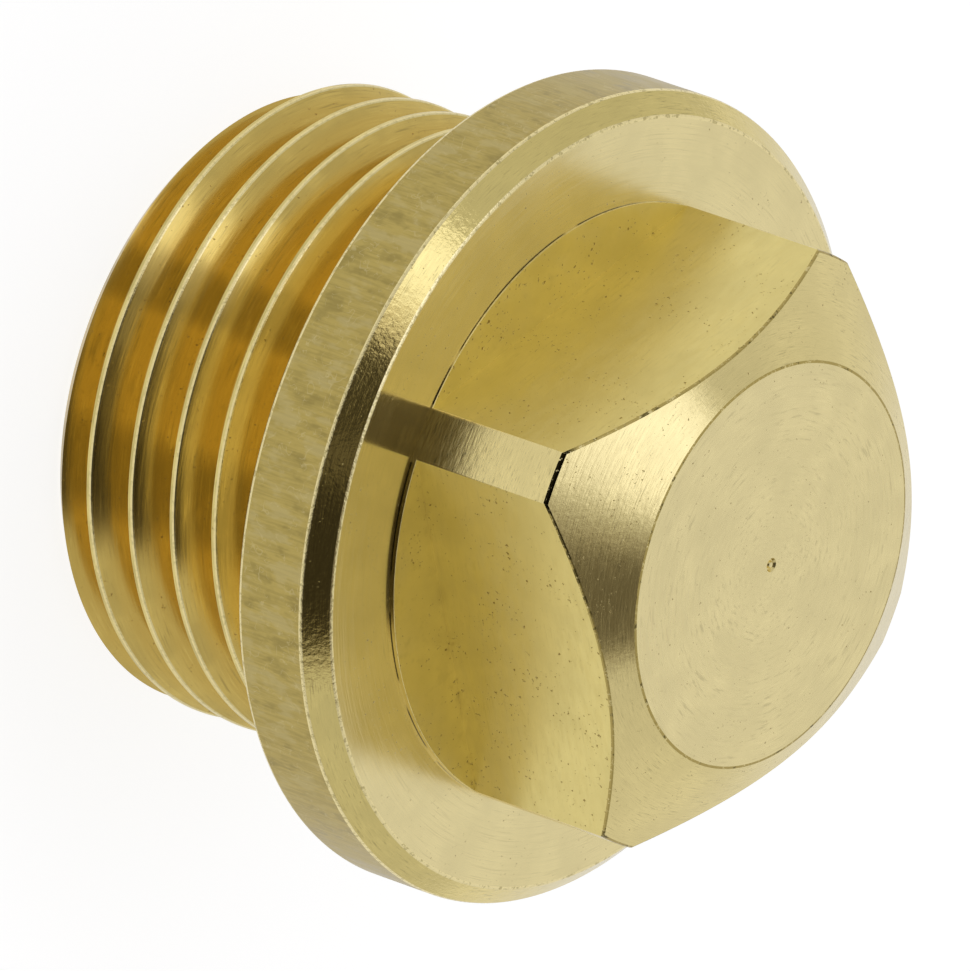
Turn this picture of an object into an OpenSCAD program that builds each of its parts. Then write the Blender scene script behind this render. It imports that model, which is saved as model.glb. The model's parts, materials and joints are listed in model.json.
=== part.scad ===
// Threaded plug: one turned brass piece with a fine metric thread, a round sealing collar
// and a square drive head milled from a round blank.
// The axis is Z. The thread's free end lies on z = 0 and the head points up.

/* [Thread] */
// Finished major diameter of the fine metric thread, a little under its nominal 18
thread_d = 17.9; // [17:0.1:19]
// Length from the free end to the sealing face
thread_len = 9.2; // [8:0.1:14]
// Chamfer at the free end, 45 degrees
thread_cham = 0.75; // [0.4:0.05:1.2]

/* [Collar] */
// Diameter of the collar
collar_d = 23; // [22:0.1:26]
// Thickness of the collar
collar_t = 2.9; // [2:0.1:5]
// Chamfer on the head side of the collar, 45 degrees
collar_cham = 0.6; // [0.2:0.05:1]
// Edge break on the rim at the sealing face, 45 degrees
collar_break = 0.15; // [0.05:0.05:0.4]

/* [Head] */
// Width across the flats of the square
square_af = 13; // [12.5:0.1:14]
// Diameter of the round blank, left as a narrow land on each corner
land_d = 17; // [16.5:0.1:17.5]
// Height of the head above the collar
head_h = 6.3; // [5:0.1:10]
// Diameter of the flat end face
face_d = 11.4; // [10:0.1:12]
// Angle of the end chamfer, measured from the end face
cham_angle = 30; // [20:1:35]
// Height of the round step that the milled flats leave above the collar
step_h = 0.15; // [0.05:0.05:0.5]

/* [Hidden] */
$fn = 96;
brass = [0.78, 0.68, 0.42];

thread_r = thread_d / 2;
collar_r = collar_d / 2;
land_r = land_d / 2;
face_r = face_d / 2;

seat_z = thread_len;
collar_z = seat_z + collar_t;
end_z = collar_z + head_h;
land_z = end_z - (land_r - face_r) * tan(cham_angle);
flat_z = collar_z + step_h;

// The turned outline, from the axis at the free end up to the axis at the end face
function turned_outline() = [
    [0, 0],
    [thread_r - thread_cham, 0],
    [thread_r, thread_cham],
    [thread_r, seat_z],
    [collar_r - collar_break, seat_z],
    [collar_r, seat_z + collar_break],
    [collar_r, collar_z - collar_cham],
    [collar_r - collar_cham, collar_z],
    [land_r, collar_z],
    [land_r, land_z],
    [face_r, end_z],
    [0, end_z]
];

// The waste outside one flat of the square, above the round step
module flat_waste() {
    waste_h = head_h + 1;
    translate([square_af / 2, -collar_d / 2, flat_z]) cube([collar_d / 2, collar_d, waste_h]);
}

module plug() {
    color(brass) difference() {
        rotate_extrude() polygon(turned_outline());
        for (turn = [0:90:270]) rotate([0, 0, turn]) flat_waste();
    }
}

plug();
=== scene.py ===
import json
import math

import bmesh
import bpy
from mathutils import Matrix, Vector


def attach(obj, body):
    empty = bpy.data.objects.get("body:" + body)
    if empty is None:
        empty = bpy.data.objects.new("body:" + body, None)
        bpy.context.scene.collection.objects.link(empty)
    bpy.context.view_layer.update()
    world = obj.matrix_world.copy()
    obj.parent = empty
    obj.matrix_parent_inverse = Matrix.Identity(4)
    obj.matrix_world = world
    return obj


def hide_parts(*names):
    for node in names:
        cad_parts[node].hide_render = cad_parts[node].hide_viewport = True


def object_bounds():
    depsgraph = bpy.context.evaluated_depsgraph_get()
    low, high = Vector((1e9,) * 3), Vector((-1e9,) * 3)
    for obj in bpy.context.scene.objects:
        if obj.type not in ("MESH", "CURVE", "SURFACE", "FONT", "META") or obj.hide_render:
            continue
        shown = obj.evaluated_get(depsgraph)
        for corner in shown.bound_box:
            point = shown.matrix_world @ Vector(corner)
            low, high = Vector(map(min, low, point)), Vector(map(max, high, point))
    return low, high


bl_info = {
    "name": "Threaded Plug",
    "version": (1, 0, 0),
    "blender": (4, 5, 0),
    "location": "View3D > Sidebar > Plug",
    "description": "A turned brass screw plug with a fine thread and a square head, and its studio",
    "category": "Object",
}

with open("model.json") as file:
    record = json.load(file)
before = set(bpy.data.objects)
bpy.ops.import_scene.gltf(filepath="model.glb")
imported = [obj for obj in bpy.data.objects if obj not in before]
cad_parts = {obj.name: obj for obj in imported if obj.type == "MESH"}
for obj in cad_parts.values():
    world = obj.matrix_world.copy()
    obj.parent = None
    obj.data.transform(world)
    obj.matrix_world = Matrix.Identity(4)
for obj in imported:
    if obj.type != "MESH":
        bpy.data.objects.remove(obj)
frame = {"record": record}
CAD_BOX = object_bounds()
MM = 0.001
THREAD = next(m for m in frame["record"]["mounts"] if m["name"] == "thread")
SEAT = next(m for m in frame["record"]["mounts"] if m["name"] == "sealing_face")
IMAGE_WIDTH = 970
IMAGE_HEIGHT = 971
FINISHES = (
    "faced", "collar_face", "collar_cham", "cone", "milled", "land",
    "drawn", "thread", "crest", "edge", "burr", "seam",
)
NEAR = 0.02 * MM  # how close to a face a place counts as on it
SLIVER = 0.002 * MM
SHARP_ANGLE = math.radians(24)
SMOOTH_ANGLE = math.radians(20)
PIT_DEPTH = 6e-6
PIT_BROWN = (0.36, 0.27, 0.13)
# Strength of the painted shade bands on the thread.
PAINTED_SHADE_GAIN = 0.35

# Radius and depth of the centre mark's rings, as shares of its radius.
PIP_RINGS = ((2.2, 0.0), (1.6, 0.9), (1.3, 0.9), (0.8, 0.18))

# Depth and slope of each part of the thread's rounded flank, from the crest.
FLANK_PARTS = ((0.12 * MM, math.radians(42)), (0.42 * MM, math.radians(37)))
EASED_DEPTH = 4 * NEAR
EASED_NORMAL = 0.78  # a face by the crest that looks up less than this is part of its ease

# A crest of the thread in the photo: its height and its angle round the axis.
CREST_Z = 6.03 * MM
CREST_ANGLE = math.radians(-45.5)
SEAT_GAP_TURNS = 0.6
RUN_OUT_TURNS = 0.5
RUN_OUT_LIFT = 1.1  # how far the tool is lifted, as a share of the groove's depth

# Lights and shades of the studio: azimuth from the camera, elevation, the angles within which
# each is full and past which it ends, all in degrees, and its gain.
BACK_LIGHT = (180, 30, 10, 55, 0.16)
WINDOW_PANES = ((-82, 73, 12, 19, 1.0), (-49, 50.5, 10.5, 16, 1.0))
DARK_PARTS = (
    (36, 50, 20, 33, 0.8),
    (40, 36, 21, 27, 0.94),
    (-8, 46, 11, 17, 0.92),
    (-4, 32, 13, 20, 0.92),
    (-14, 60, 14, 22, 0.45),
    (86, 70, 9, 20, 0.8),
)
WINDOW_TINT = (0.97, 1.0, 1.2, 1)
DARK_TINT = (1.0, 0.85, 0.6, 1)

FLOOR_SIZE = 3.0
FLOOR_DROP = 0.05 * MM
FLOOR_TONE = (0.28, 0.28, 0.28, 1)
FLOOR_GLOW = 0.86
GLOW_LOST = 0.2  # how much weaker the floor glows in the metal


def length(name, description, default_mm):
    """A size in metres whose default is given in millimetres."""
    return bpy.props.FloatProperty(
        name=name, description=description, default=default_mm * MM, unit="LENGTH", precision=5
    )


def colour(name, description, default):
    """A linear colour."""
    return bpy.props.FloatVectorProperty(
        name=name, description=description, default=default, subtype="COLOR", size=3, min=0.0, max=1.0
    )


def turn_angle(name, description, degrees):
    """An angle whose default is given in degrees."""
    return bpy.props.FloatProperty(
        name=name, description=description, default=math.radians(degrees), subtype="ANGLE"
    )


class PlugSizes(bpy.types.PropertyGroup):
    """Sizes of the plug; those that the frame holds come from it."""

    collar_r: length("Collar radius", "Outside radius of the collar", CAD_BOX[1][0] / MM)
    end_z: length("Height", "Height of the end face above the thread's free end", CAD_BOX[1][2] / MM)
    seat_z: length("Seat height", "Height of the sealing face", SEAT["pos_m"][2] / MM)
    thread_r: length("Thread radius", "Finished outside radius of the thread", THREAD["dims"]["r_mm"])
    thread_cham: length("Thread chamfer", "Chamfer at the thread's free end", 0.75)
    pitch: length("Pitch", "Rise of the thread in one turn", 1.5)
    groove_depth: length("Groove depth", "Depth of the thread groove below the crest", 0.915)
    crest_w: length("Crest width", "Width of the flat left on the thread's crest", 0.08)
    ease_w: length("Crest ease width", "Width of the eased edge on the crest's head side", 0.06)
    ease_h: length("Crest ease height", "Height of the eased edge on the crest's head side", 0.016)
    crest_break: length("Crest break", "Width and height of the break beside the crest's ease", 0.03)
    root_w: length("Root width", "Width of the groove at its root", 0.04)
    collar_t: length("Collar thickness", "Thickness of the collar", 2.9)
    collar_cham: length("Collar chamfer", "Chamfer on the head side of the collar", 0.6)
    collar_break: length("Collar edge break", "Edge break at the sealing face", 0.15)
    land_r: length("Land radius", "Radius of the round blank left on the head's corners", 8.5)
    half_flats: length("Half across flats", "Distance of a flat from the axis", 6.5)
    step_hs: bpy.props.FloatVectorProperty(
        name="Step heights",
        description="Height of the round step under the flats on +X, +Y, -X and -Y",
        default=(0.15 * MM, 0.1 * MM, 0.12 * MM, 0.05 * MM),
        size=4,
        unit="LENGTH",
        precision=5,
    )
    face_r: length("End face radius", "Radius of the flat end face", 5.7)
    cham_angle: turn_angle("End chamfer", "Angle of the head's chamfer from the end face", 30)
    edge_w: length("Edge break", "Width of the break on the collar's edges", 0.055)
    burr_w: length("Burr", "Width of the burr between the land and the end chamfer", 0.08)
    lip_w: length("Lip", "Width of the torn lip round the end chamfer", 0.055)
    rim_w: length("Rim", "Width of the break round the end face", 0.04)
    step_w: length("Step break", "Width of the break on the round step and the land", 0.012)
    pip_r: length("Centre mark radius", "Radius of the mark that the parting tool leaves", 0.09)
    segments: bpy.props.IntProperty(
        name="Segments", description="Facets round the turned faces", default=256, min=64, max=512
    )


class PlugLooks(bpy.types.PropertyGroup):
    """Colours of the brass and the light around it."""

    pale: colour("Pale brass", "Faced brass on the end and the collar", (0.86, 0.735, 0.38))
    gold: colour("Gold brass", "Turned brass on the end chamfer and the land", (0.86, 0.72, 0.325))
    turned: colour("Turned brass", "Turned brass on the collar's chamfer", (0.81, 0.665, 0.25))
    milled: colour("Milled brass", "Brass on the flats", (0.86, 0.718, 0.273))
    drawn: colour("Drawn brass", "Dull skin of the drawn bar", (0.51, 0.395, 0.12))
    thread: colour("Thread brass", "Brass on the thread by its crest", (0.74, 0.55, 0.155))
    amber: colour("Amber brass", "Brass deep in the thread grooves", (0.7, 0.49, 0.12))
    # Darkened, this colour also paints shade in the crease at the foot of the small step and shadow at
    # one corner of the burr.
    burr: colour("Burr", "Olive line along a torn edge", (0.5, 0.385, 0.12))
    light: bpy.props.FloatProperty(name="Light", description="Brightness of the room", default=0.62)
    window: bpy.props.FloatProperty(name="Window", description="What the window adds", default=0.72)


class StageView(bpy.types.PropertyGroup):
    """Where the camera stands and how it is turned."""

    azimuth: turn_angle("Azimuth", "Direction from the axis to the camera, from +X", -43.1)
    elevation: turn_angle("Elevation", "Height of the camera above the horizon", 36.28)
    roll: turn_angle("Roll", "How far the plug's axis lies below the picture's horizontal", 19.13)
    distance: length("Distance", "From the camera to the seat", 579.0)
    focal_px: bpy.props.FloatProperty(
        name="Focal length", description="In pixels of the picture", default=21220.0
    )
    seat_px: bpy.props.FloatVectorProperty(
        name="Seat in picture", description="Pixel of the seat's centre", default=(511.9, 475.3), size=2
    )


def deselect_all():
    """Leaves edit mode and selects nothing."""
    if bpy.context.object and bpy.context.object.mode != "OBJECT":
        bpy.ops.object.mode_set(mode="OBJECT")
    bpy.ops.object.select_all(action="DESELECT")


def turn_outline(name, outline, segments):
    """A closed turned solid: a disc drawn from ring to ring along the outline of (radius, height)."""
    deselect_all()
    radius, height = outline[0]
    bpy.ops.mesh.primitive_circle_add(
        vertices=segments, radius=radius, fill_type="NGON", location=(0, 0, height)
    )
    piece = bpy.context.object
    piece.name = name
    bpy.ops.object.transform_apply(location=True)
    bpy.ops.object.mode_set(mode="EDIT")
    bpy.ops.mesh.select_all(action="SELECT")
    for next_radius, next_height in outline[1:]:
        bpy.ops.mesh.extrude_region_move(
            TRANSFORM_OT_translate={"value": (0, 0, next_height - height)}
        )
        factor = next_radius / radius
        bpy.ops.transform.resize(value=(factor, factor, 1), center_override=(0, 0, 0))
        radius, height = next_radius, next_height
    bpy.ops.mesh.select_all(action="SELECT")
    bpy.ops.mesh.normals_make_consistent(inside=False)
    bpy.ops.object.mode_set(mode="OBJECT")
    return piece


def apply_modifier(piece, kind, **settings):
    """Adds a modifier with these settings and applies it."""
    deselect_all()
    piece.select_set(True)
    bpy.context.view_layer.objects.active = piece
    modifier = piece.modifiers.new(kind.lower(), kind)
    for key, value in settings.items():
        setattr(modifier, key, value)
    bpy.ops.object.modifier_apply(modifier=modifier.name)


def cut_away(piece, cutter):
    """Takes the cutter's volume off the piece and throws the cutter away."""
    apply_modifier(piece, "BOOLEAN", operation="DIFFERENCE", solver="EXACT", object=cutter)
    bpy.data.objects.remove(cutter, do_unlink=True)


def blank_outline(size):
    """Outline of the turned blank, from the free end to the mark in the end face."""
    collar_z = size.seat_z + size.collar_t
    outline = [
        (size.thread_r - size.thread_cham, 0),
        (size.thread_r, size.thread_cham),
        (size.thread_r, size.seat_z),
        (size.collar_r - size.collar_break, size.seat_z),
        (size.collar_r, size.seat_z + size.collar_break),
        (size.collar_r, collar_z - size.collar_cham),
        (size.collar_r - size.collar_cham, collar_z),
        (size.land_r, collar_z),
        (size.land_r, land_height(size)),
        (size.face_r, size.end_z),
    ]
    mark = [(size.pip_r * wide, size.end_z - size.pip_r * deep) for wide, deep in PIP_RINGS]
    return outline + mark


def mill_flats(piece, size):
    """Takes the four flats off the head, down to the round step."""
    waste = size.collar_r
    for quarter, step_h in enumerate(size.step_hs):
        deselect_all()
        floor_z = size.seat_z + size.collar_t + step_h
        angle = math.radians(90 * quarter)
        reach = size.half_flats + waste / 2
        bpy.ops.mesh.primitive_cube_add(
            size=1,
            location=(reach * math.cos(angle), reach * math.sin(angle), floor_z + waste / 2),
            rotation=(0, 0, angle),
            scale=(waste, 2 * size.collar_r, waste),
        )
        cut_away(piece, bpy.context.object)


def draw_loop(points):
    """An object of one closed loop of edges through these points, drawn from vertex to vertex."""
    deselect_all()
    bpy.ops.mesh.primitive_plane_add(size=MM, location=points[0])
    loop = bpy.context.object
    bpy.ops.object.transform_apply(location=True)
    bpy.ops.object.mode_set(mode="EDIT")
    bpy.ops.mesh.select_all(action="SELECT")
    bpy.ops.mesh.merge(type="CENTER")
    for here, there in zip(points, points[1:]):
        step = [after - before for before, after in zip(here, there)]
        bpy.ops.mesh.extrude_region_move(TRANSFORM_OT_translate={"value": step})
    bpy.ops.mesh.select_all(action="SELECT")
    bpy.ops.mesh.edge_face_add()
    bpy.ops.mesh.delete(type="ONLY_FACE")
    bpy.ops.object.mode_set(mode="OBJECT")
    return loop


def groove_section(size, centre_z):
    """Section of the thread groove, with an eased edge and a rounded flank on its lower side."""
    over = 0.01 * MM
    root_r = size.thread_r - size.groove_depth
    half = (size.pitch - size.crest_w) / 2
    ease_slope = size.ease_w / size.ease_h
    high_slope = (half - size.root_w / 2) / size.groove_depth
    outline = [
        (size.thread_r + over, -half - over * ease_slope),
        (size.thread_r - size.ease_h, -half + size.ease_w),
        (size.thread_r - size.ease_h - size.crest_break, -half + size.ease_w + size.crest_break),
    ]
    for depth, lean in FLANK_PARTS:
        outline.append((outline[-1][0] - depth, outline[-1][1] + depth * math.tan(lean)))
    outline += [
        (root_r, -size.root_w / 2),
        (root_r, size.root_w / 2),
        (size.thread_r + over, half + over * high_slope),
    ]
    return draw_loop([(radius, 0, centre_z + height) for radius, height in outline])


def groove_cutter(size):
    """The thread groove as a closed coil: its section screwed up round the axis."""
    start_z = CREST_Z - CREST_ANGLE / math.tau * size.pitch - size.pitch / 2
    start_z -= math.ceil(start_z / size.pitch + 1) * size.pitch
    cutter = groove_section(size, start_z)
    turns = round((size.seat_z - start_z) / size.pitch - SEAT_GAP_TURNS)
    apply_modifier(
        cutter,
        "SCREW",
        axis="Z",
        angle=math.tau,
        screw_offset=size.pitch,
        iterations=turns,
        steps=size.segments,
        render_steps=size.segments,
        use_normal_calculate=False,
    )
    run_out(cutter, start_z, turns, size)
    bpy.ops.object.mode_set(mode="EDIT")
    bpy.ops.mesh.select_all(action="DESELECT")
    bpy.ops.mesh.select_non_manifold()
    bpy.ops.mesh.fill_holes(sides=0)
    bpy.ops.mesh.select_all(action="SELECT")
    bpy.ops.mesh.normals_make_consistent(inside=False)
    bpy.ops.object.mode_set(mode="OBJECT")
    return cutter


def run_out(cutter, start_z, turns, size):
    """Lifts the coil's last half turn out of the work, as the tool leaves the cut by the collar."""
    for vertex in cutter.data.vertices:
        part_turn = math.atan2(vertex.co.y, vertex.co.x) / math.tau
        whole_turns = round((vertex.co.z - start_z) / size.pitch - part_turn)
        late = whole_turns + part_turn - (turns - RUN_OUT_TURNS)
        if late <= 0:
            continue
        radius = math.hypot(vertex.co.x, vertex.co.y)
        grown = radius + (late / RUN_OUT_TURNS) ** 2 * size.groove_depth * RUN_OUT_LIFT
        vertex.co.x *= grown / radius
        vertex.co.y *= grown / radius


def merge_slivers(piece):
    """Closes up the slivers that cutting leaves where two surfaces nearly touch."""
    deselect_all()
    bpy.context.view_layer.objects.active = piece
    bpy.ops.object.mode_set(mode="EDIT")
    bpy.ops.mesh.select_all(action="SELECT")
    bpy.ops.mesh.remove_doubles(threshold=SLIVER)
    bpy.ops.mesh.dissolve_degenerate(threshold=SLIVER)
    bpy.ops.object.mode_set(mode="OBJECT")


def land_height(size):
    """Height at which the head's chamfer meets the round land."""
    return size.end_z - (size.land_r - size.face_r) * math.tan(size.cham_angle)


def weigh_edges(piece, size):
    """Weighs the sharp outer edges for the bevel: a burr on the land's top, finer breaks elsewhere."""
    weights = piece.data.attributes.new("bevel_weight_edge", "FLOAT", "EDGE")
    collar_z = size.seat_z + size.collar_t
    mark_r = 3 * size.pip_r
    shape = bmesh.new()
    shape.from_mesh(piece.data)
    for edge in shape.edges:
        middle = (edge.verts[0].co + edge.verts[1].co) / 2
        radius = math.hypot(middle.x, middle.y)
        if radius < mark_r or edge.calc_face_angle_signed(0.0) < SHARP_ANGLE:
            continue
        if middle.z < collar_z + NEAR:
            width = size.edge_w
        elif middle.z < land_height(size) - NEAR:
            width = size.step_w
        elif radius > size.land_r - NEAR:
            width = size.burr_w
        else:
            width = size.rim_w if middle.z > size.end_z - NEAR else size.lip_w
        weights.data[edge.index].value = width / size.burr_w
    shape.free()


def edge_finish(height, size):
    """Finish of a bevelled edge at this height."""
    if height > land_height(size) - size.burr_w:
        return "burr"
    return "land" if height > size.seat_z + size.collar_t else "edge"


def face_finish(face, size):
    """Finish of the cut that made this face."""
    collar_z = size.seat_z + size.collar_t
    radius = math.hypot(face.center.x, face.center.y)
    height = face.center.z
    upright = abs(face.normal.z) < 0.05
    level = abs(face.normal.z) > 0.95
    if level and height < NEAR:
        return "faced"
    if height < size.seat_z - NEAR:
        if upright and radius > size.thread_r - NEAR:
            return "crest"
        eased = 0 < face.normal.z < EASED_NORMAL and radius > size.thread_r - EASED_DEPTH
        return "edge" if eased else "thread"
    if upright and radius > size.land_r + NEAR:
        return "drawn"
    if upright and radius > size.land_r - NEAR:
        return "land" if height > collar_z + max(size.step_hs) else "seam"
    if upright:
        return "milled"
    if height < collar_z + NEAR:
        return "collar_face" if level else "collar_cham"
    if level:
        return "faced" if height > size.end_z - size.face_r else "milled"
    return "cone"


def assign_finishes(piece, size):
    """Gives each face its finish; the faces that the bevel made already wear the edge's."""
    slot = {name: number for number, name in enumerate(FINISHES)}
    for face in piece.data.polygons:
        bevelled = face.material_index == slot["edge"]
        kind = edge_finish(face.center.z, size) if bevelled else face_finish(face, size)
        face.material_index = slot[kind]


def part_finishes(piece):
    """Marks the edges between two finishes as sharp, so that each cut keeps its own shading."""
    shape = bmesh.new()
    shape.from_mesh(piece.data)
    for edge in shape.edges:
        first, second = edge.link_faces
        if first.material_index != second.material_index:
            edge.smooth = False
    shape.to_mesh(piece.data)
    shape.free()


class NodeGraph:
    """A node tree, with short calls for the nodes that it is made of."""

    def __init__(self, tree):
        self.tree = tree

    def node(self, kind, **settings):
        made = self.tree.nodes.new(kind)
        for key, value in settings.items():
            setattr(made, key, value)
        return made

    def link(self, output, socket):
        self.tree.links.new(output, socket)

    def feed(self, socket, value):
        if isinstance(value, bpy.types.NodeSocket):
            self.link(value, socket)
        else:
            socket.default_value = value

    def math(self, operation, first, second=0.0):
        made = self.node("ShaderNodeMath", operation=operation)
        self.feed(made.inputs[0], first)
        self.feed(made.inputs[1], second)
        return made.outputs[0]

    def vector(self, operation, first, second=(0, 0, 0)):
        made = self.node("ShaderNodeVectorMath", operation=operation)
        self.feed(made.inputs[0], first)
        self.feed(made.inputs[1], second)
        return made.outputs["Value" if operation in ("DOT_PRODUCT", "LENGTH") else "Vector"]

    def combine(self, x, y, z):
        made = self.node("ShaderNodeCombineXYZ")
        for socket, value in zip(made.inputs, (x, y, z)):
            self.feed(socket, value)
        return made.outputs[0]

    def mix(self, factor, first, second):
        made = self.node("ShaderNodeMix", data_type="RGBA")
        self.feed(made.inputs["Factor"], factor)
        self.feed(made.inputs["A"], first)
        self.feed(made.inputs["B"], second)
        return made.outputs["Result"]

    def ramp(self, value, low, high, start=0.0, end=1.0):
        """A smooth rise from start to end while the value goes from low to high."""
        made = self.node("ShaderNodeMapRange", interpolation_type="SMOOTHSTEP")
        for socket, entry in zip(made.inputs, (value, low, high, start, end)):
            self.feed(socket, entry)
        return made.outputs[0]

    def spot(self, cosine, inner, outer, gain):
        """The gain where an angle, given by its cosine, is within inner, and 0 past outer."""
        return self.ramp(cosine, math.cos(math.radians(outer)), math.cos(math.radians(inner)), 0.0, gain)


class FinishGraph(NodeGraph):
    """Node tree of one brass finish. Its place is the piece's own, in millimetres."""

    def __init__(self, name):
        self.material = bpy.data.materials.new(name)
        self.material.use_nodes = True
        super().__init__(self.material.node_tree)
        self.shader = self.tree.nodes["Principled BSDF"]
        self.shader.inputs["Metallic"].default_value = 1.0
        own = self.node("ShaderNodeTexCoord").outputs["Object"]
        self.place = self.vector("MULTIPLY", own, (1 / MM, 1 / MM, 1 / MM))
        split = self.node("ShaderNodeSeparateXYZ")
        self.link(self.place, split.inputs[0])
        self.x, self.y, self.z = split.outputs
        self.flat_place = self.combine(self.x, self.y, 0.0)
        self.radius = self.vector("LENGTH", self.flat_place)
        self.heading = self.vector("NORMALIZE", self.flat_place)

    def noise(self, place, scale=1.0, detail=2.0, roughness=0.5):
        made = self.node("ShaderNodeTexNoise")
        self.feed(made.inputs["Vector"], place)
        made.inputs["Scale"].default_value = scale
        made.inputs["Detail"].default_value = detail
        made.inputs["Roughness"].default_value = roughness
        return made.outputs["Fac"]

    def pits(self, density, share):
        """1 in small torn pits that lie in loose clusters, 0 elsewhere."""
        grain = self.noise(self.place, density, detail=3.0, roughness=0.6)
        cluster = self.noise(self.place, density * 0.12, detail=2.0)
        level = self.ramp(cluster, 0.35, 0.65, 0.81 - share, 0.73 - share)
        return self.ramp(self.math("SUBTRACT", grain, level), 0.0, 0.08)

    def brush(self, roughness, anisotropy):
        """Gloss drawn out across lines that run round the axis."""
        self.feed(self.shader.inputs["Roughness"], roughness)
        self.shader.inputs["Anisotropic"].default_value = anisotropy
        self.shader.inputs["Anisotropic Rotation"].default_value = 0.25  # across the lines
        round_axis = self.node("ShaderNodeTangent", direction_type="RADIAL", axis="Z")
        self.link(round_axis.outputs[0], self.shader.inputs["Tangent"])

    def bump(self, height):
        """Raises the surface by a height in metres."""
        made = self.node("ShaderNodeBump")
        made.inputs["Distance"].default_value = 1.0
        self.link(height, made.inputs["Height"])
        self.link(made.outputs[0], self.shader.inputs["Normal"])


def opaque(tint, factor=1.0):
    """The colour as four numbers, made brighter or darker by a factor."""
    return (tint[0] * factor, tint[1] * factor, tint[2] * factor, 1.0)


def round_lay(graph, fine, along):
    """Noise place for tool lines that run round the axis on a faced or coned surface."""
    outward = graph.math("SUBTRACT", graph.radius, graph.z)
    turned = graph.vector("MULTIPLY", graph.heading, (along, along, along))
    return graph.vector("ADD", turned, graph.combine(0.0, 0.0, graph.math("MULTIPLY", outward, fine)))


def level_lay(graph, fine, along):
    """Noise place for tool lines that lie level on an upright surface."""
    return graph.vector("MULTIPLY", graph.place, (along, along, fine))


def upright_lay(graph, fine, along):
    """Noise place for draw lines that run along the axis."""
    return graph.vector("MULTIPLY", graph.place, (fine, fine, along))


def lined_brass(
    name, tint, lay, fine, along, depth, roughness, anisotropy, streaks, pits,
    blotch=0.05, dents=0.0, deep=None, painted_shade_bands=(),
):
    """Brass with tool lines, light and dark streaks beside them and scattered pits.

    fine and along count the lines' changes in a millimetre, across and along them. depth is
    the lines' height in metres, streaks their contrast, pits the pits' density and share, blotch
    the contrast of the broad clouds, and dents the height in metres of a fine uneven relief. deep,
    where given, is a second tint with the radii in millimetres where it is full and where it ends.
    Each band of painted shade is a heading in degrees with the angles where it is full and where it
    ends; it darkens the colour on that side of the axis where the metal should mirror dark surroundings."""
    graph = FinishGraph(name)
    lines = graph.noise(lay(graph, fine, along), detail=3.0, roughness=0.6)
    streak = graph.noise(lay(graph, fine * 1.7, along * 1.5), detail=2.0, roughness=0.7)
    cloud = graph.noise(graph.place, 0.7, detail=3.0)
    pit = graph.pits(*pits)
    dull, clear = opaque(tint, 1 - blotch), opaque(tint, 1 + blotch / 2)
    tone = graph.mix(graph.ramp(cloud, 0.3, 0.7), dull, clear)
    if deep:
        deep_tint, full_mm, end_mm = deep
        tone = graph.mix(graph.ramp(graph.radius, end_mm, full_mm), tone, opaque(deep_tint))
    # Painted shade: bands darkened at set headings round the axis, in place of dark surroundings
    # mirrored in the metal.
    for heading, inner, outer in painted_shade_bands:
        towards = graph.vector("DOT_PRODUCT", graph.heading, tuple(direction(heading, 0)))
        tone = graph.mix(graph.spot(towards, inner, outer, PAINTED_SHADE_GAIN), tone, opaque(tint, 0.3))
    patchy = graph.ramp(cloud, 0.4, 0.6, 0.4 * streaks, 1.3 * streaks)
    light = graph.math("MULTIPLY", graph.ramp(streak, 0.52, 0.7), patchy)
    shade = graph.math("MULTIPLY", graph.ramp(streak, 0.46, 0.28), patchy)
    tone = graph.mix(light, tone, opaque(tint, 1.14))
    tone = graph.mix(shade, tone, opaque(tint, 0.5))
    brown = opaque([part * share for part, share in zip(tint, PIT_BROWN)])
    tone = graph.mix(graph.math("MULTIPLY", pit, 0.9), tone, brown)
    graph.link(tone, graph.shader.inputs["Base Color"])
    graph.brush(graph.ramp(lines, 0.3, 0.75, roughness * 0.85, roughness * 1.2), anisotropy)
    sunk = graph.math("MULTIPLY", pit, PIT_DEPTH)
    uneven = graph.math("MULTIPLY", graph.noise(graph.place, 6.0, detail=3.0, roughness=0.6), dents)
    relief = graph.math("ADD", graph.math("MULTIPLY", lines, depth), uneven)
    graph.bump(graph.math("SUBTRACT", relief, sunk))
    return graph.material


def drawn_brass(looks):
    """Dull bar skin on the collar's rim, with draw lines along the axis, scratches and scuffs."""
    graph = FinishGraph("drawn_brass")
    lines = graph.noise(upright_lay(graph, 12.0, 0.8), detail=2.0, roughness=0.6)
    scuff = graph.noise(upright_lay(graph, 1.8, 0.9), detail=3.0, roughness=0.6)
    tone = graph.mix(graph.ramp(lines, 0.35, 0.65), opaque(looks.drawn, 0.9), opaque(looks.drawn, 1.07))
    tone = graph.mix(graph.ramp(scuff, 0.49, 0.64, 0.0, 0.5), tone, opaque(looks.gold, 0.74))
    tone = graph.mix(graph.ramp(scuff, 0.48, 0.33, 0.0, 0.6), tone, opaque(looks.drawn, 0.62))
    for shift, scale, gain in ((7.3, 2.2, 0.3), (15.1, 4.2, 0.35)):
        moved = graph.vector("ADD", graph.place, (shift, shift, shift))
        waves = graph.math("SUBTRACT", graph.noise(moved, scale, detail=1.0), 0.5)
        wander = graph.math("ABSOLUTE", waves)
        here = graph.ramp(graph.noise(moved, scale * 0.7, detail=1.0), 0.52, 0.62, 0.0, gain)
        scratch = graph.math("MULTIPLY", here, graph.ramp(wander, 0.02, 0.006))
        tone = graph.mix(scratch, tone, opaque(looks.pale, 0.85))
    graph.link(tone, graph.shader.inputs["Base Color"])
    graph.link(graph.ramp(scuff, 0.4, 0.7, 0.28, 0.42), graph.shader.inputs["Roughness"])
    worn = graph.math("MULTIPLY", scuff, 4e-6)
    graph.bump(graph.math("ADD", graph.math("MULTIPLY", lines, 3e-6), worn))
    return graph.material


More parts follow.
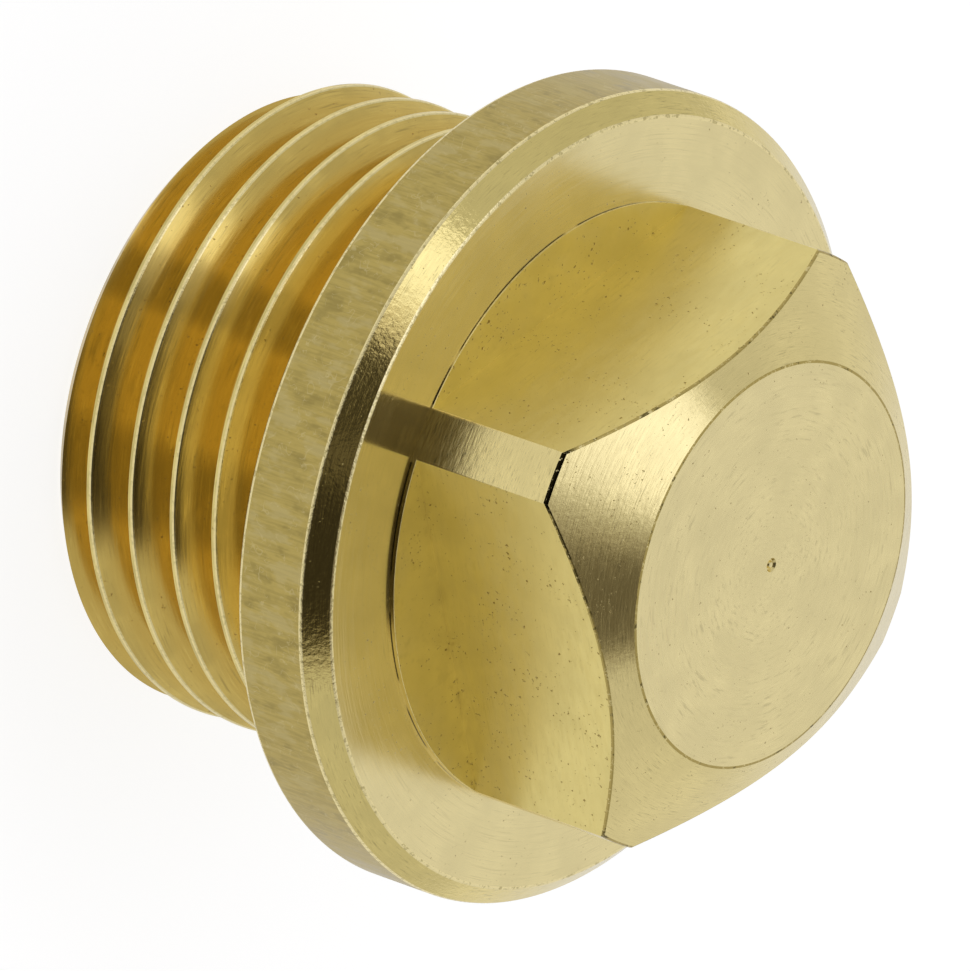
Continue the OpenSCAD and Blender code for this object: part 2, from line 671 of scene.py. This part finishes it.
def edge_brass(looks):
    """Bright, slightly ragged break on a turned edge."""
    graph = FinishGraph("edge_brass")
    ragged = graph.noise(graph.place, 6.0, detail=3.0, roughness=0.7)
    torn = graph.ramp(graph.radius, 9.2, 10.0, 0.45, 1.0)
    tone = graph.mix(graph.ramp(ragged, 0.36, 0.5), opaque(looks.gold, 0.7), opaque(looks.pale, 1.1))
    tone = graph.mix(torn, opaque(looks.gold), tone)
    graph.link(tone, graph.shader.inputs["Base Color"])
    graph.shader.inputs["Roughness"].default_value = 0.22
    graph.bump(graph.math("MULTIPLY", graph.math("MULTIPLY", ragged, torn), 1.5e-5))
    return graph.material


def burr_brass(looks):
    """Torn edge of the head: an olive line, blotched, with bright lips, and painted black shadow towards
    one corner where a raised lip would shade it.
    """
    graph = FinishGraph("burr_brass")
    ragged = graph.noise(graph.place, 9.0, detail=4.0, roughness=0.7)
    broad = graph.noise(graph.place, 3.0, detail=3.0, roughness=0.6)
    corner = graph.vector("DOT_PRODUCT", graph.place, (math.sqrt(0.5), -math.sqrt(0.5), 0.0))
    torn = graph.ramp(corner, 8.15, 8.4)
    side = graph.ramp(graph.math("ADD", graph.x, graph.y), -0.9, 0.9, 0.2, 1.0)
    near = graph.math("MULTIPLY", graph.ramp(corner, 4.8, 7.6, 0.0, 0.2), side)
    blot = graph.ramp(graph.math("SUBTRACT", broad, near), 0.42, 0.34, 0.0, 0.85)
    line = graph.mix(graph.ramp(graph.radius, 5.75, 5.9), opaque(looks.burr, 0.95), opaque(looks.burr))
    line = graph.mix(blot, line, opaque(looks.burr, 0.25))
    # Painted shadow: towards one corner the line goes almost black, as shade under a raised lip.
    line = graph.mix(torn, line, opaque(looks.burr, 0.03))
    bright = graph.mix(torn, opaque(looks.gold, 0.9), opaque(looks.pale, 1.1))
    lip = graph.ramp(graph.math("SUBTRACT", ragged, graph.math("MULTIPLY", torn, 0.05)), 0.56, 0.62)
    graph.link(graph.mix(lip, line, bright), graph.shader.inputs["Base Color"])
    graph.shader.inputs["Roughness"].default_value = 0.35
    graph.bump(graph.math("MULTIPLY", ragged, 8e-6))
    return graph.material


def seam_brass(looks, foot_mm):
    """Wall of the small step: turned brass over a thin brown line of painted shade in the crease at its
    foot, broken here and there.
    """
    graph = FinishGraph("seam_brass")
    ragged = graph.noise(graph.place, 4.0, detail=4.0, roughness=0.7)
    above = graph.math("SUBTRACT", graph.z, foot_mm)
    above = graph.math("ADD", above, graph.math("MULTIPLY", ragged, 0.03))
    broad = graph.noise(graph.place, 0.6, detail=1.0)
    # Painted shade: the dark line along the crease at the foot of the step, broken by patches of gold.
    foot_shade = graph.mix(graph.ramp(broad, 0.56, 0.64), opaque(looks.burr, 0.2), opaque(looks.gold))
    tone = graph.mix(graph.ramp(above, 0.035, 0.05), foot_shade, opaque(looks.turned))
    graph.link(tone, graph.shader.inputs["Base Color"])
    graph.shader.inputs["Roughness"].default_value = 0.15
    return graph.material


def make_finishes(looks, size):
    """One material for each finish, in the order of the piece's slots."""
    few, some, many = (11.0, 0.06), (10.0, 0.09), (8.0, 0.13)
    crest_mm = size.thread_r / MM
    return [
        lined_brass(
            "faced_brass", looks.pale, round_lay, fine=6.0, along=4.0, depth=4e-6,
            roughness=0.27, anisotropy=0.4, streaks=0.3, pits=some, dents=7e-6,
        ),
        lined_brass(
            "collar_face_brass", looks.pale, round_lay, fine=14.0, along=4.0, depth=1.5e-6,
            roughness=0.18, anisotropy=0.85, streaks=0.18, pits=some,
        ),
        lined_brass(
            "collar_cham_brass", looks.turned, round_lay, fine=9.0, along=14.0, depth=4e-6,
            roughness=0.13, anisotropy=0.6, streaks=0.45, pits=few, dents=8e-6,
        ),
        lined_brass(
            "cone_brass", looks.gold, round_lay, fine=13.0, along=9.0, depth=5e-6,
            roughness=0.19, anisotropy=0.5, streaks=0.45, pits=some, dents=3e-6,
        ),
        lined_brass(
            "milled_brass", looks.milled, level_lay, fine=6.0, along=1.2, depth=8e-7,
            roughness=0.33, anisotropy=0.0, streaks=0.12, pits=many,
        ),
        lined_brass(
            "land_brass", looks.gold, level_lay, fine=14.0, along=2.0, depth=6e-6,
            roughness=0.22, anisotropy=0.5, streaks=0.8, pits=few, dents=3e-6,
        ),
        drawn_brass(looks),
        lined_brass(
            "thread_brass", looks.thread, round_lay, fine=6.0, along=4.0, depth=4e-6,
            roughness=0.18, anisotropy=0.7, streaks=0.4, pits=some, blotch=0.14,
            deep=(looks.amber, crest_mm - 0.45, crest_mm - 0.05),
            # Painted shade bands at two headings round the axis.
            painted_shade_bands=((-56, 2, 7), (-18, 4, 12)),
        ),
        lined_brass(
            "crest_brass", looks.turned, round_lay, fine=9.0, along=9.0, depth=3e-6,
            roughness=0.25, anisotropy=0.4, streaks=0.5, pits=few, blotch=0.2,
        ),
        edge_brass(looks),
        burr_brass(looks),
        seam_brass(looks, (size.seat_z + size.collar_t) / MM),
    ]


class PLUG_OT_make_plug(bpy.types.Operator):
    """Turns the blank, mills the square, cuts the thread and gives every face its finish"""

    bl_idname = "plug.make_plug"
    bl_label = "Make plug"

    def execute(self, context):
        size = context.scene.plug_sizes
        piece = turn_outline("plug_body", blank_outline(size), size.segments)
        for material in make_finishes(context.scene.plug_looks, size):
            piece.data.materials.append(material)
        mill_flats(piece, size)
        weigh_edges(piece, size)
        apply_modifier(
            piece,
            "BEVEL",
            width=size.burr_w,
            segments=2,
            limit_method="WEIGHT",
            use_clamp_overlap=False,
            material=FINISHES.index("edge"),
        )
        cut_away(piece, groove_cutter(size))
        merge_slivers(piece)
        assign_finishes(piece, size)
        deselect_all()
        piece.select_set(True)
        context.view_layer.objects.active = piece
        bpy.ops.object.shade_smooth_by_angle(angle=SMOOTH_ANGLE)
        part_finishes(piece)
        apply_modifier(piece, "WEIGHTED_NORMAL", mode="FACE_AREA", weight=80, keep_sharp=True)
        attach(piece, "root")
        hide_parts("plug")
        return {"FINISHED"}


def direction(azimuth, elevation):
    """Unit vector that points to this azimuth and elevation, both in degrees."""
    around, up = math.radians(azimuth), math.radians(elevation)
    return Vector((math.cos(up) * math.cos(around), math.cos(up) * math.sin(around), math.sin(up)))


def light_studio(scene, looks, view):
    """A pale room with one bright window above and a dark opening beside the camera."""
    world = bpy.data.worlds.new("studio")
    world.use_nodes = True
    scene.world = world
    graph = NodeGraph(world.node_tree)
    looking = graph.node("ShaderNodeTexCoord").outputs["Generated"]
    heading = math.degrees(view.azimuth)

    def patch(azimuth, elevation, inner, outer, gain):
        """The gain within the inner angle of a direction, 0 past the outer angle."""
        towards = tuple(direction(heading + azimuth, elevation))
        return graph.spot(graph.vector("DOT_PRODUCT", looking, towards), inner, outer, gain)

    def strongest(parts):
        """The highest gain of these patches in each direction."""
        made = patch(*parts[0])
        for part in parts[1:]:
            made = graph.math("MAXIMUM", made, patch(*part))
        return made

    window = strongest(WINDOW_PANES)
    dark = strongest(DARK_PARTS)
    level = graph.math("ADD", looks.light, patch(*BACK_LIGHT))
    level = graph.math("ADD", level, graph.math("MULTIPLY", window, looks.window))
    level = graph.math("MULTIPLY", level, graph.math("SUBTRACT", 1.0, dark))
    tone = graph.mix(window, (1, 1, 1, 1), WINDOW_TINT)
    tone = graph.mix(dark, tone, DARK_TINT)
    backdrop = world.node_tree.nodes["Background"]
    graph.link(level, backdrop.inputs["Strength"])
    graph.link(tone, backdrop.inputs["Color"])


def white_floor():
    """A pale floor that reads as white and keeps the shadow. From below it is clear."""
    deselect_all()
    bpy.ops.mesh.primitive_plane_add(size=FLOOR_SIZE, location=(0, 0, -FLOOR_DROP))
    floor = bpy.context.object
    floor.name = "floor"
    material = bpy.data.materials.new("white_floor")
    material.use_nodes = True
    graph = NodeGraph(material.node_tree)
    graph.tree.nodes.remove(graph.tree.nodes["Principled BSDF"])
    paper = graph.node("ShaderNodeBsdfDiffuse")
    paper.inputs["Color"].default_value = FLOOR_TONE
    path = graph.node("ShaderNodeLightPath").outputs
    mirrored = graph.math("MAXIMUM", path["Is Glossy Ray"], path["Is Transmission Ray"])
    seen = graph.math("MAXIMUM", path["Is Camera Ray"], mirrored)
    lost = graph.math("MULTIPLY", path["Is Glossy Ray"], GLOW_LOST)
    glow = graph.node("ShaderNodeEmission")
    kept = graph.math("SUBTRACT", FLOOR_GLOW, lost)
    graph.link(graph.math("MULTIPLY", seen, kept), glow.inputs["Strength"])
    both = graph.node("ShaderNodeAddShader")
    graph.link(paper.outputs[0], both.inputs[0])
    graph.link(glow.outputs[0], both.inputs[1])
    sided = graph.node("ShaderNodeMixShader")
    graph.link(graph.node("ShaderNodeNewGeometry").outputs["Backfacing"], sided.inputs[0])
    graph.link(both.outputs[0], sided.inputs[1])
    graph.link(graph.node("ShaderNodeBsdfTransparent").outputs[0], sided.inputs[2])
    graph.link(sided.outputs[0], graph.tree.nodes["Material Output"].inputs["Surface"])
    floor.data.materials.append(material)


def place_camera(scene, view, size):
    """Aims a long lens at the seat, turned so that the plug's axis lies as in the picture."""
    back = direction(math.degrees(view.azimuth), math.degrees(view.elevation))
    side = Vector((0, 0, 1)).cross(back).normalized()
    upright = back.cross(side)
    tilt = math.pi / 2 + view.roll
    right = side * math.cos(tilt) + upright * math.sin(tilt)
    up = upright * math.cos(tilt) - side * math.sin(tilt)
    scale = view.distance / view.focal_px
    seat = Vector((0, 0, size.seat_z))
    across = (view.seat_px[0] - IMAGE_WIDTH / 2) * scale
    down = (view.seat_px[1] - IMAGE_HEIGHT / 2) * scale
    place = seat + back * view.distance - right * across + up * down
    camera = bpy.data.cameras.new("camera")
    camera.sensor_fit = "HORIZONTAL"
    camera.sensor_width = 36.0
    camera.lens = view.focal_px / IMAGE_WIDTH * camera.sensor_width
    camera.clip_start = 0.01
    holder = bpy.data.objects.new("camera", camera)
    holder.matrix_world = Matrix.Translation(place) @ Matrix((right, up, back)).transposed().to_4x4()
    scene.collection.objects.link(holder)
    scene.camera = holder


class PLUG_OT_make_stage(bpy.types.Operator):
    """Lays the white floor, lights the studio and sets the camera"""

    bl_idname = "plug.make_stage"
    bl_label = "Make stage"

    def execute(self, context):
        scene = context.scene
        white_floor()
        light_studio(scene, scene.plug_looks, scene.plug_view)
        place_camera(scene, scene.plug_view, scene.plug_sizes)
        scene.view_settings.view_transform = "Standard"
        return {"FINISHED"}


class PLUG_PT_panel(bpy.types.Panel):
    """Lists the plug's sizes, looks and steps"""

    bl_idname = "PLUG_PT_panel"
    bl_label = "Threaded plug"
    bl_space_type = "VIEW_3D"
    bl_region_type = "UI"
    bl_category = "Plug"

    def draw(self, context):
        for group in (context.scene.plug_sizes, context.scene.plug_looks, context.scene.plug_view):
            box = self.layout.box()
            for name in group.__annotations__:
                box.prop(group, name)
        self.layout.operator(PLUG_OT_make_plug.bl_idname)
        self.layout.operator(PLUG_OT_make_stage.bl_idname)


CLASSES = (PlugSizes, PlugLooks, StageView, PLUG_OT_make_plug, PLUG_OT_make_stage, PLUG_PT_panel)


def register():
    for item in CLASSES:
        bpy.utils.register_class(item)
    bpy.types.Scene.plug_sizes = bpy.props.PointerProperty(type=PlugSizes)
    bpy.types.Scene.plug_looks = bpy.props.PointerProperty(type=PlugLooks)
    bpy.types.Scene.plug_view = bpy.props.PointerProperty(type=StageView)


def unregister():
    del bpy.types.Scene.plug_view
    del bpy.types.Scene.plug_looks
    del bpy.types.Scene.plug_sizes
    for item in reversed(CLASSES):
        bpy.utils.unregister_class(item)


def main():
    register()
    bpy.ops.plug.make_plug()
    bpy.ops.plug.make_stage()


if __name__ == "__main__":
    main()
